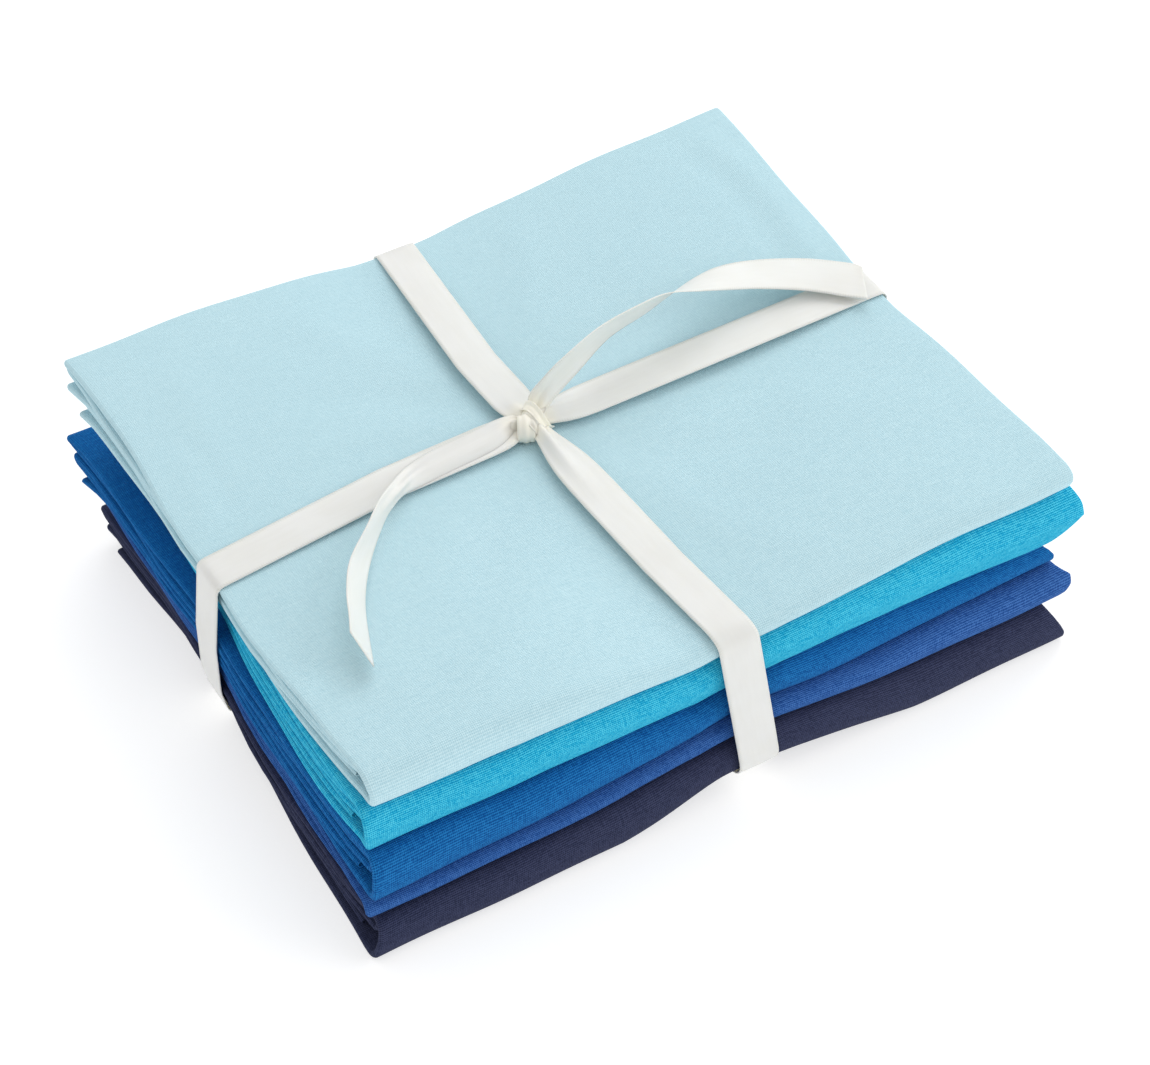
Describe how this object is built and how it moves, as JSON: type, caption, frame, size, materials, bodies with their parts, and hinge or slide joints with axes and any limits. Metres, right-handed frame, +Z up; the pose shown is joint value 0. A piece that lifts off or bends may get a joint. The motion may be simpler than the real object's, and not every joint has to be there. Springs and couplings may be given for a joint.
{
  "type": "fabric bundle",
  "caption": "Stack of folded cotton cloths in shades of blue, tied both ways with a narrow cream satin ribbon knotted on top.",
  "frame": {"origin": "middle of the underside of the whole bundle, on the surface that it rests on", "axes": "+X along the long side, +Y from the long side with the smooth round folds to the opposite one, +Z up through the stack"},
  "size_m": [0.1911, 0.1604, 0.0692],
  "materials": {
    "cloth_navy": "matt plain-weave cotton, navy",
    "cloth_royal": "matt plain-weave cotton, royal blue",
    "cloth_mid_blue": "matt plain-weave cotton, mid blue",
    "cloth_turquoise": "matt plain-weave cotton, turquoise",
    "cloth_pale_blue": "matt plain-weave cotton, pale blue",
    "ribbon": "soft satin ribbon, cream"
  },
  "bodies": {
    "root": {"cloth_navy": "cloth_navy", "cloth_royal": "cloth_royal", "cloth_mid_blue": "cloth_mid_blue", "cloth_turquoise": "cloth_turquoise", "cloth_pale_blue": "cloth_pale_blue", "ribbon": "ribbon"}
  },
  "joints": []
}
